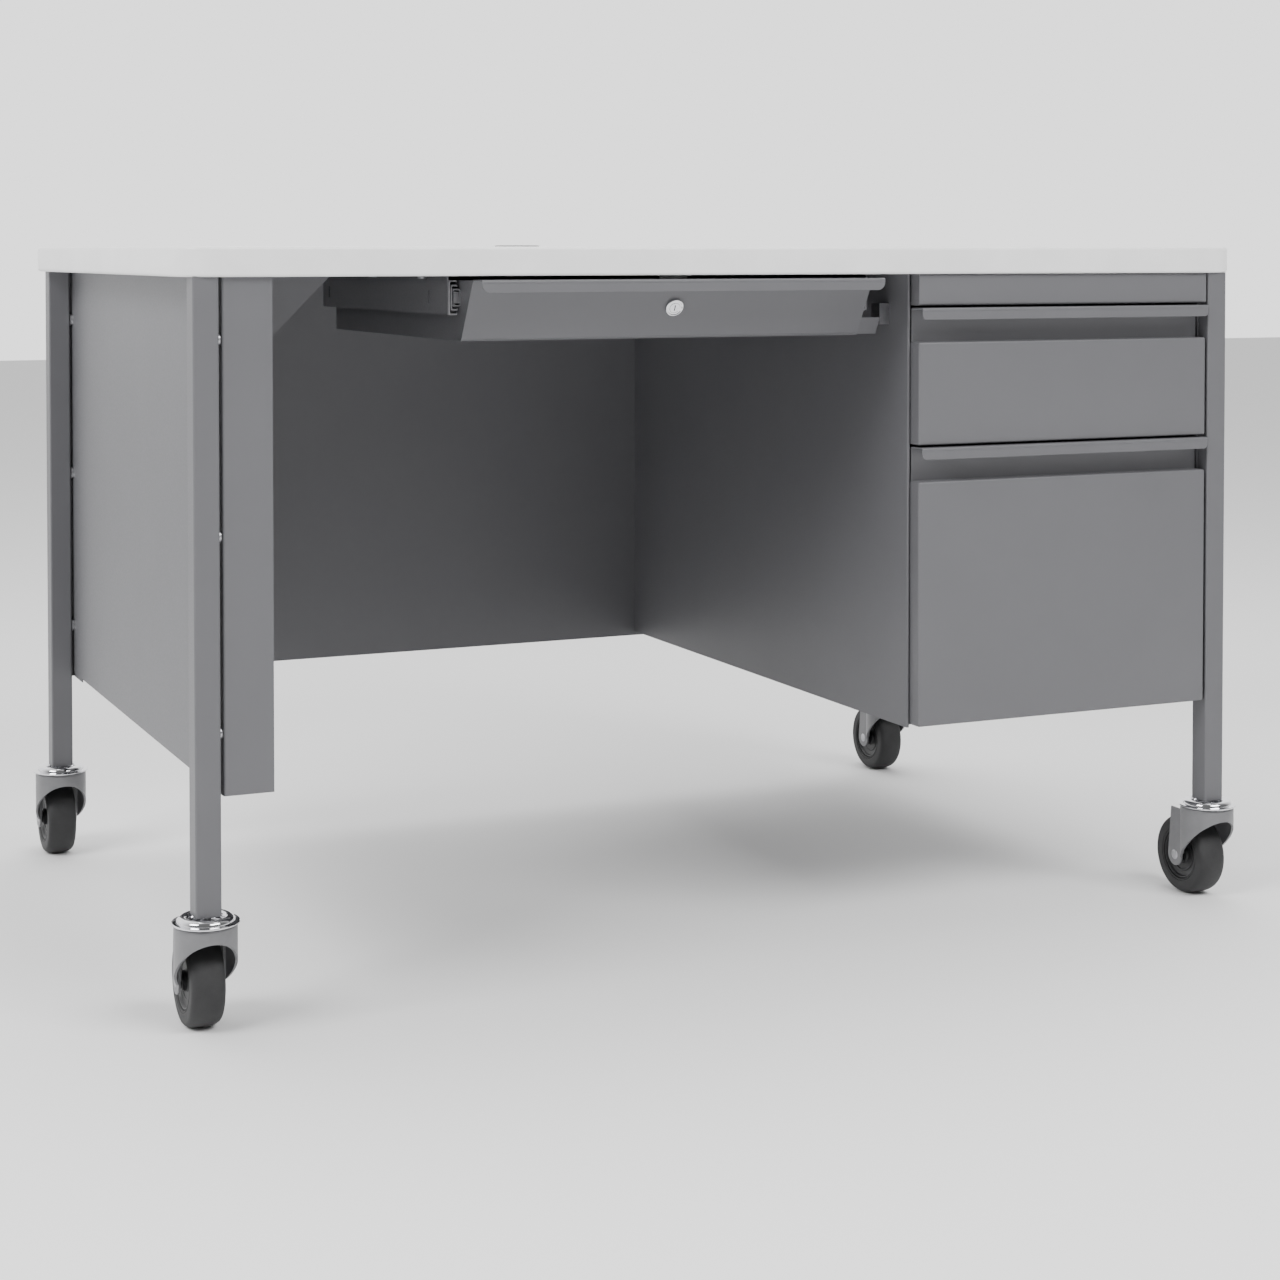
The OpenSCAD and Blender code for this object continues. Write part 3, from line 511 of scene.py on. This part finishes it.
def makeFork(corner):
    lo, hi = boxMm("fork_" + corner)
    stem = np.array(jointAt["swivel_turn_" + corner]["pos_m"]) / mm
    wheel = np.array(jointAt["wheel_spin_" + corner]["pos_m"]) / mm
    r, t, top = caster["hoodRadius"], caster["wall"], hi[2]
    trail = wheel[1] - stem[1]
    cheekY = trail - caster["cheekWide"] / 2
    frontZ, skirtZ = top - caster["frontDrop"], top - caster["skirtDrop"]
    cheekTop = top - caster["cheekDrop"]
    # Round the hood the lower edge rises in a straight line from the axle's level at the cheeks
    # to the front, and stays high round the back
    turn = math.asin(cheekY / r)
    low = np.linspace(-math.pi - turn, turn, 90)
    high = np.linspace(turn + 1e-3, math.pi - turn - 1e-3, 30)
    angle = np.concatenate([low, high])
    y = r * np.sin(angle)
    edge = frontZ + (wheel[2] - frontZ) * (y + r) / (cheekY + r)
    edge[len(low):] = skirtZ
    a = np.linspace(0, math.pi / 2, 6)
    sh = caster["shoulder"]
    outer = np.array([(r - sh + sh * math.cos(b), top - sh + sh * math.sin(b)) for b in a])
    fixed = np.vstack([outer, [(caster["stemHole"], top), (caster["stemHole"], top - t),
                               (r - t, top - t)]])
    radius = np.concatenate([[r], fixed[:, 0], [r - t]])
    z = np.broadcast_to(np.concatenate([[0], fixed[:, 1], [0]]), (len(angle), len(radius))).copy()
    z[:, 0] = edge
    z[:, -1] = edge
    points = np.stack([stem[0] + radius[None] * np.cos(angle)[:, None],
                       stem[1] + radius[None] * np.sin(angle)[:, None], z], -1)
    parts = [(points, gridFaces(len(angle), len(radius), True, True).tolist())]
    # Flat cheeks, round about the axle, joined to the hood by a step
    inner = caster["cheekSpan"] / 2 - t
    w = caster["cheekWide"]
    bottom = np.linspace(math.pi, 2 * math.pi, 20)
    arc = np.stack([wheel[1] + w / 2 * np.cos(bottom), wheel[2] + w / 2 * np.sin(bottom)], 1)
    outline = np.vstack([arc, [(stem[1] + cheekY + 0.8 * w, cheekTop),
                               (stem[1] + cheekY, cheekTop)]])
    stepX = math.sqrt(r * r - cheekY * cheekY) - 0.5
    step = roundedOutline([(inner, cheekY - t), (stepX, cheekY - t), (stepX, cheekY + 1),
                           (inner, cheekY + 1)], [0.5] * 4, 3)
    for side in (-1, 1):
        a0, a1 = sorted((side * inner, side * (inner + t)))
        parts.append(easedPrism(outline, stem[0] + a0, stem[0] + a1, "yzx", 0.5))
        placed = step * [side, 1] + stem[:2]
        placed = placed[::side]
        parts.append(easedPrism(placed, wheel[2] + caster["stepRise"], cheekTop, "xyz", 0.3))
    makePiece("fork_" + corner.replace("_", ""), parts, "swivel_" + corner, "fork_steel",
              ["fork_" + corner])
    # Pin with low domed heads
    reach = caster["cheekSpan"] / 2
    head, proud = caster["rivet"], caster["rivetProud"]
    b = np.linspace(0, math.pi / 2, 7)
    dome = [(head * math.cos(c), reach + proud * math.sin(c)) for c in b]
    profile = ([(0, -reach - proud)] + [(p, -q) for p, q in dome[::-1][1:]]
               + [(caster["pin"], -reach), (caster["pin"], reach)] + dome[:-1] + [(0, reach + proud)])
    makePiece("axlePin_" + corner.replace("_", ""), [turned(profile, wheel, (1, 0, 0), 48, False)],
              "swivel_" + corner, "zinc_steel", ["axle_" + corner])


wheelShape = {"wide": 33.5, "coreRadius": 28, "sunk": 2.6, "boss": 10, "bore": 4.05,
              "tread": [(0, 0.06), (0.1, 0.25), (0.35, 0.48), (0.9, 0.68), (1.6, 0.8),
                        (2.6, 0.9), (3.9, 0.965), (5.2, 0.99), (7, 1)]}


def makeWheel(corner):
    lo, hi = boxMm("tyre_" + corner)
    wheel = np.array(jointAt["wheel_spin_" + corner]["pos_m"]) / mm
    half, rim = wheelShape["wide"] / 2, (hi[2] - lo[2]) / 2
    rim = round(rim)
    core = wheelShape["coreRadius"]
    # Crowned tread, a distinct edge, then a short flank
    right = [(rim - drop, across * half) for drop, across in wheelShape["tread"]]
    side = [(core + 3.5, half), (core + 2.8, half - 0.8), (core + 2.0, half - 0.8),
            (core + 1.4, half - 0.2), (core + 0.6, half - 0.4), (core + 0.1, half - 1.4)]
    quarter = right + side
    profile = quarter + [(p, -q) for p, q in quarter[::-1]]
    name = corner.replace("_", "")
    makePiece("tyre_" + name, [turned(profile, wheel, (1, 0, 0), 128)], "wheel_" + corner,
              "wheel_rubber", ["tyre_" + corner])
    bossX = boxMm("hub_" + corner)[1][0] - wheel[0]
    sunk = half - wheelShape["sunk"]
    boss = wheelShape["boss"]
    face = [(core, half - 2.0), (core - 1.2, half - 1.4), (core - 2.2, half - 1.8),
            (core - 3.4, sunk - 1.4), (core - 8, sunk - 2.4), (core - 8.6, sunk - 1.6),
            (core - 9.8, sunk - 1.6), (core - 10.4, sunk - 2.4), (boss + 1.4, sunk - 2.6),
            (boss, sunk - 1.0), (boss, half - 0.6), (boss - 1, half), (boss - 2.2, half),
            (boss - 3, bossX - 0.5), (boss - 3.4, bossX), (wheelShape["bore"], bossX)]
    profile = face[::-1] + [(p, -q) for p, q in face]
    makePiece("wheelCore_" + name, [turned(profile, wheel, (1, 0, 0), 96)], "wheel_" + corner,
              "hub_plastic", ["hub_" + corner])


cup = {"bore": 5.1, "flange": 32.5, "plate": 2.2, "crownAt": 22.2, "crownHalf": 5.4,
       "recess": 16.6, "shoulder": 28.6}


def makeCups():
    # A pressed ring: thin flange, round shoulder and a recess about the leg
    lo, hi = boxMm("bearing_cups")
    z0, z1 = lo[2], hi[2]
    h = z1 - z0
    a = np.linspace(0, math.pi, 16)
    crown = [(cup["crownAt"] + cup["crownHalf"] * math.cos(b),
              z0 + 0.34 * h + 0.66 * h * math.sin(b)) for b in a]
    rim, plateZ = cup["flange"], z0 + cup["plate"]
    profile = [(cup["bore"], z0), (rim - 0.7, z0), (rim, z0 + 0.5), (rim, z0 + 1.5),
               (rim - 0.6, plateZ - 0.1), (cup["shoulder"], plateZ)] + crown
    profile += [(cup["recess"], plateZ), (cup["bore"], plateZ)]
    parts = []
    for corner in corners:
        stem = np.array(jointAt["swivel_turn_" + corner]["pos_m"]) / mm
        parts.append(turned(profile, (stem[0], stem[1], 0), (0, 0, 1), 96))
    makePiece("bearingCups", parts, "frame", "chrome", ["bearing_cups"])


for corner in corners:
    makeFork(corner)
    makeWheel(corner)
makeCups()
print("stage: casters")


# Cable grommet

grommet = {"bore": 23.5, "sleeve": 25.5, "ledge": 1.5, "sunk": 3}


def makeGrommet():
    lo, hi = boxMm("grommet_sleeve")
    c = (lo + hi) / 2
    r, flange, bore = (hi[0] - lo[0]) / 2, hi[2] - deskZ, grommet["bore"]
    sleeve, narrow, ledgeZ = grommet["sleeve"], bore - grommet["ledge"], deskZ - grommet["sunk"]
    a = np.linspace(0, math.pi / 2, 8)
    rim = [(r - flange + flange * math.cos(b), deskZ + flange * math.sin(b)) for b in a]
    profile = ([(narrow, lo[2]), (sleeve, lo[2]), (sleeve, deskZ)] + rim
               + [(bore + 0.4, hi[2]), (bore, hi[2] - 0.4), (bore, ledgeZ), (narrow, ledgeZ)])
    makePiece("grommetSleeve", [turned(profile, (c[0], c[1], 0), (0, 0, 1))], "frame",
              "grommet_plastic", ["grommet_sleeve"])


makeGrommet()
print("stage: grommet")


# Floor, light and camera

def makeStage():
    mesh = bpy.data.meshes.new("floor")
    mesh.from_pydata([(-14, -14, 0), (14, -14, 0), (14, 14, 0), (-14, 14, 0)], [], [(0, 1, 2, 3)])
    floor = bpy.data.objects.new("floor", mesh)
    paper = bpy.data.materials.new("studioPaper")
    paper.use_nodes = True
    paper.node_tree.nodes["Principled BSDF"].inputs["Base Color"].default_value = linear("#f2f2f2")
    paper.node_tree.nodes["Principled BSDF"].inputs["Roughness"].default_value = 0.9
    mesh.materials.append(paper)
    bpy.context.scene.collection.objects.link(floor)
    world = bpy.data.worlds.new("studio")
    world.use_nodes = True
    # The room is brighter behind the desk than in front of it
    tree = world.node_tree
    place = addNode(tree, "ShaderNodeTexCoord")
    split = addNode(tree, "ShaderNodeSeparateXYZ", {"Vector": place.outputs["Generated"]})
    level = addNode(tree, "ShaderNodeMapRange",
                    {"Value": split.outputs["Y"], "From Min": -0.3, "From Max": 0.6,
                     "To Min": lighting["ahead"], "To Max": lighting["behind"]})
    tree.links.new(level.outputs["Result"], tree.nodes["Background"].inputs["Strength"])
    tree.nodes["Background"].inputs["Color"].default_value = (1, 1, 1, 1)
    bpy.context.scene.world = world
    for name, at, size, power in lighting["boxes"]:
        data = bpy.data.lights.new(name, "AREA")
        data.shape = "RECTANGLE"
        data.size, data.size_y, data.energy = size[0], size[1], power
        box = bpy.data.objects.new(name, data)
        box.location = at
        aim = Vector((0, 0, 0.4)) - box.location
        box.rotation_euler = aim.to_track_quat("-Z", "Y").to_euler()
        bpy.context.scene.collection.objects.link(box)


lighting = {"ahead": 0.2, "behind": 1.9,
            "boxes": [("keyBox", (-3.3, -1.3, 2.9), (2.0, 1.6), 140),
                      ("frontBox", (1.0, -3.0, 3.0), (2.4, 1.4), 140),
                      ("topBox", (0.3, 0.6, 3.6), (2.6, 2.0), 60)]}
makeStage()

view = {"x": -1.1301, "toFront": 2.1924, "z": 0.7435, "yaw": 24.304, "pitch": 1.64,
        "lens": 66.84, "shiftY": -0.25}
cameraData = bpy.data.cameras.new("camera")
cameraData.sensor_width = 36
cameraData.lens = view["lens"] * math.cos(math.radians(view["pitch"]))
cameraData.shift_y = view["shiftY"]
camera = bpy.data.objects.new("camera", cameraData)
camera.location = (view["x"], frontY * mm - view["toFront"], view["z"])
camera.rotation_euler = (math.radians(90 - view["pitch"]), 0, -math.radians(view["yaw"]))
bpy.context.scene.collection.objects.link(camera)
bpy.context.scene.camera = camera
print("stage: floor, light and camera")
